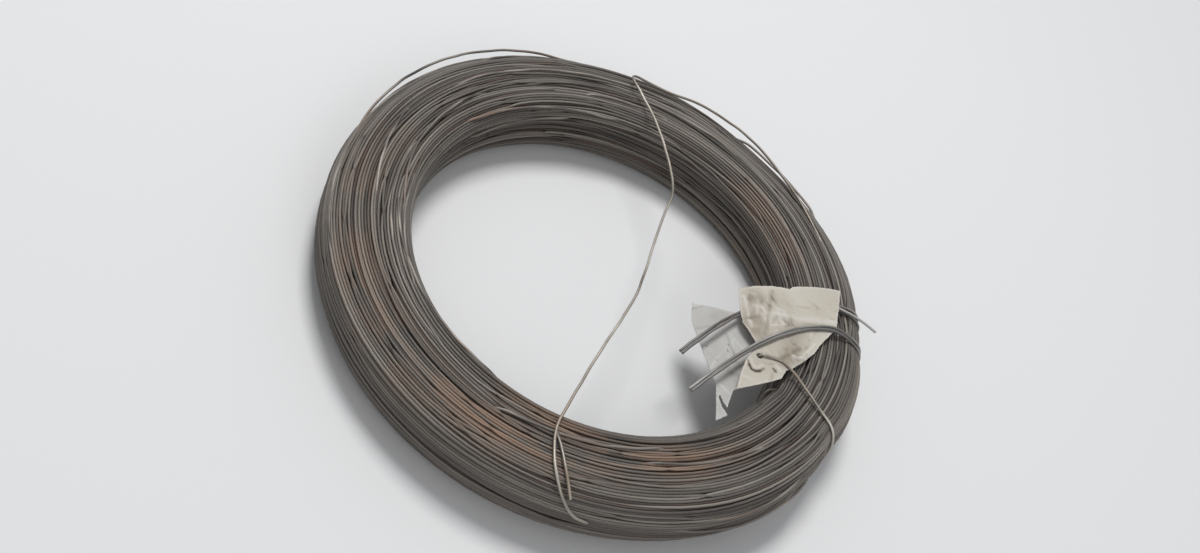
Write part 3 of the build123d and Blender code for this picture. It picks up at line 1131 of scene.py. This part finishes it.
def card_material(name, ridge_highlight_and_rim_colour, clean, stained, groove_shade_and_dirt_colour, tear_shadow_colour):
    """Card: stains, lighter near the rim, painted highlight on ridges, painted shade in grooves, dirt in
    specks, painted shadow along tears.
    """
    material, add = new_material(name)
    place = add("ShaderNodeTexCoord").outputs["Object"]
    mark = point_value(add, "mark")
    speck = noise(add, place, scale=420.0, detail=4.0)
    fibre = noise(add, place, scale=1600.0, detail=3.0)
    patchy = mapped(add, noise(add, place, scale=70.0, detail=6.0, roughness=0.65), 0.3, 0.65, to_low=0.3)
    cloud = mapped(add, noise(add, place, scale=24.0, detail=2.0), 0.4, 0.7, to_high=0.3)
    stain = maths(add, "MULTIPLY_ADD", point_value(add, "stain"), patchy, cloud, clamp=True)
    # Painted highlight on the ridges of the folds, and lighter within 1.8 mm of the rim
    ramped_by_distance = mapped(add, point_value(add, "rim"), 0.0, 1.8, to_low=0.55, to_high=0.0)
    ridge = maths(add, "MAXIMUM", maths(add, "MULTIPLY", mark, 0.9, clamp=True), ramped_by_distance)
    fleck = mapped(add, speck, 0.62, 0.78, to_high=0.6 * groove_shade_and_dirt_share)
    # Painted shade in the grooves of the folds, in patches, with real dirt flecks
    groove = maths(add, "MULTIPLY", mark, -1.2 * groove_shade_and_dirt_share, clamp=True)
    groove_shade_and_dirt = maths(add, "ADD", maths(add, "MULTIPLY", groove, patchy), fleck, clamp=True)
    # Painted shadow along the tears, where the mark is below -1
    tear_shadow = mapped(add, mark, -1.0, -2.0)
    colour = srgb(*clean)
    for share, over in ((stain, stained), (ridge, ridge_highlight_and_rim_colour), (groove_shade_and_dirt, groove_shade_and_dirt_colour), (tear_shadow, tear_shadow_colour)):
        colour = blend(add, share, colour, srgb(*over))
    surface(add, colour, 0.78, 0.0, maths(add, "ADD", speck, fibre), relief=0.35)
    return material


def bundle_tone(chain, rng):
    """Tone that bundles of neighbouring turns share."""
    place, azimuth = place_on_section(chain), azimuths_of(chain)
    tone = np.zeros(len(chain))
    for wavelength in tone_wavelengths:
        for _ in range(3):
            number = wave_number(wavelength, rng)
            angle = 2 * np.pi * number * place / section_length + rng.integers(-3, 4) * azimuth
            tone += bundle_tone_size * np.sin(angle + rng.uniform(0, 2 * np.pi))
    return tone


def patch_share(chain, patches):
    """How much of the brown patches or of the painted glint patches a turn has at each of its points."""
    place, azimuth = place_on_section(chain), np.degrees(azimuths_of(chain))
    share = np.zeros(len(chain))
    for centre, middle, spread, width, strength in patches:
        along = (np.mod(azimuth - centre + 180, 360) - 180) / spread
        across = (place / MM - middle) / width
        share += strength * np.exp(-(along**2) - across**2)
    return np.clip(share, 0, 1)


def turns_pieces(materials):
    """The coil's turns near its surface, one piece for each layer."""
    rng = np.random.default_rng(seed + 1)
    painted_glint_rng = np.random.default_rng(seed + 5)
    names = ("turns_outer", "turns_second", "turns_third")
    for layer, chain in enumerate(wind_turns()):
        count = len(chain)
        line = to_space(chain)
        tone = middle_tone + slow_tone * smooth_noise(count, azimuth_count // 2, rng)
        tone += bundle_tone(chain, rng)
        # Turns in the glint patches are painted brighter: painted glints
        painted_glint_share = np.clip(painted_glint_base + smooth_noise(count, azimuth_count // 4, painted_glint_rng), 0, 1)
        tone += painted_glint_tone * painted_glint_share * patch_share(chain, painted_glint_patches)
        turn = (np.arange(count) / azimuth_count) * streak_turn + layer * streak_layer
        rust = np.clip(patch_share(chain, rust_patches) + (deep_rust if layer else 0), 0, 1)
        tone = np.clip(tone, 0, 1)
        values = {"tone": [tone], "along": [lengths_along(line)], "turn": [turn], "rust": [rust]}
        piece = wires_object(names[layer], [line], wire_sides[layer], values, [coil_frames(chain)])
        stand_in(piece, materials[layer], "wire_coil")


def core_piece(material):
    """Body of the coil under its outer turns, turned from the inset section, in the darker deep wire
    colours as painted shade.
    """
    rings = core_corners
    section = on_section(section_length * np.arange(rings) / rings, core_depth)
    turns = 2 * np.pi * np.arange(azimuth_count) / azimuth_count
    vertices = [(r * np.cos(turn), r * np.sin(turn), z) for turn in turns for r, z in section]
    here, first = np.arange(azimuth_count)[:, None] * rings, np.arange(rings)
    beyond, second = np.roll(here, -1), np.roll(first, -1)
    faces = np.stack([here + first, beyond + first, beyond + second, here + second], axis=2)
    piece = smooth_object("coil_core", np.array(vertices), faces.reshape(-1, 4).tolist())
    stand_in(piece, material, "wire_coil")


def seen_share(add):
    """1 for rays that show the backdrop, and 0 for rays that light the object."""
    path = add("ShaderNodeLightPath").outputs
    seen = maths(add, "ADD", path["Is Camera Ray"], path["Is Glossy Ray"])
    return maths(add, "ADD", seen, path["Is Transmission Ray"])


def add_floor():
    """Pale floor that turns into the plain backdrop far from the coil."""
    signs = ((-1, -1), (1, -1), (1, 1), (-1, 1))
    corners = [(x * floor_half, y * floor_half, floor_level) for x, y in signs]
    mesh = bpy.data.meshes.new("floor")
    mesh.from_pydata(corners, [], [(0, 1, 2, 3)])
    material, add = new_material("floor")
    place = add("ShaderNodeTexCoord").outputs["Object"]
    distance = add("ShaderNodeVectorMath", {0: place}, operation="LENGTH").outputs["Value"]
    far = maths(add, "MULTIPLY", mapped(add, distance, *floor_fade), seen_share(add))
    near = add("ShaderNodeBsdfPrincipled", {"Base Color": floor_colour, "Roughness": 0.9})
    backdrop = add("ShaderNodeEmission", {"Color": backdrop_colour, "Strength": 1.0})
    shader = add("ShaderNodeMixShader", {0: far, 1: near.outputs[0], 2: backdrop.outputs[0]})
    add("ShaderNodeOutputMaterial", {"Surface": shader.outputs[0]})
    mesh.materials.append(material)
    add_object("floor", mesh)


def light_world():
    """Soft light from all round, and the plain backdrop that the camera sees."""
    world = bpy.data.worlds.new("world")
    bpy.context.scene.world = world
    world.use_nodes = True
    world.node_tree.nodes.clear()
    add = node_maker(world)
    light = add("ShaderNodeBackground", {"Color": sky_colour, "Strength": sky_strength})
    backdrop = add("ShaderNodeBackground", {"Color": backdrop_colour, "Strength": 1.0})
    shader = add("ShaderNodeMixShader", {0: seen_share(add), 1: light.outputs[0], 2: backdrop.outputs[0]})
    add("ShaderNodeOutputWorld", {"Surface": shader.outputs[0]})


def add_lamp(name, place, width, power):
    """Round lamp that shines on the middle of the coil."""
    light = bpy.data.lights.new(name, "AREA")
    light.shape = "DISK"
    light.size = width
    light.energy = power
    holder = add_object(name, light)
    holder.location = place
    holder.rotation_mode = "QUATERNION"
    holder.rotation_quaternion = (-Vector(place)).to_track_quat("-Z", "Y")


def add_camera():
    """Camera at its place, aimed at the middle of the coil."""
    holder = add_object("camera", bpy.data.cameras.new("camera"))
    place = Vector(camera_place)
    forward = (Vector((0.0, 0.0, 0.0)) - place).normalized()
    right = forward.cross(Vector(camera_up_hint)).normalized()
    up = right.cross(forward)
    holder.matrix_world = Matrix.Translation(place) @ Matrix((right, up, -forward)).transposed().to_4x4()
    holder.data.sensor_width = 36
    holder.data.lens = 42
    bpy.context.scene.camera = holder
    bpy.context.scene.view_settings.view_transform = "Standard"


metals = {name: wire_material(name, *look) for name, look in wire_looks.items()}
# The layers under the outermost and the core get the darker deep wire colours as painted shade
turns_pieces((metals["coil_wire"], metals["deep_wire_in_painted_shade"], metals["deep_wire_in_painted_shade"]))
core_piece(metals["deep_wire_in_painted_shade"])
tie_pieces(metals["tie_wire"], metals["bright_wire"])
loose_end_piece(metals["bright_wire"])
stray_piece(metals["stray_wire"])
cards = {name: card_material(name, *look) for name, look in card_looks.items()}
card_piece("cream", cards["cream_card"], cream_outline, cream_plane, cream_shape)
card_piece("white", cards["white_card"], white_outline, white_plane, white_shape)
add_floor()
light_world()
for row in lamps:
    add_lamp(*row)
add_camera()
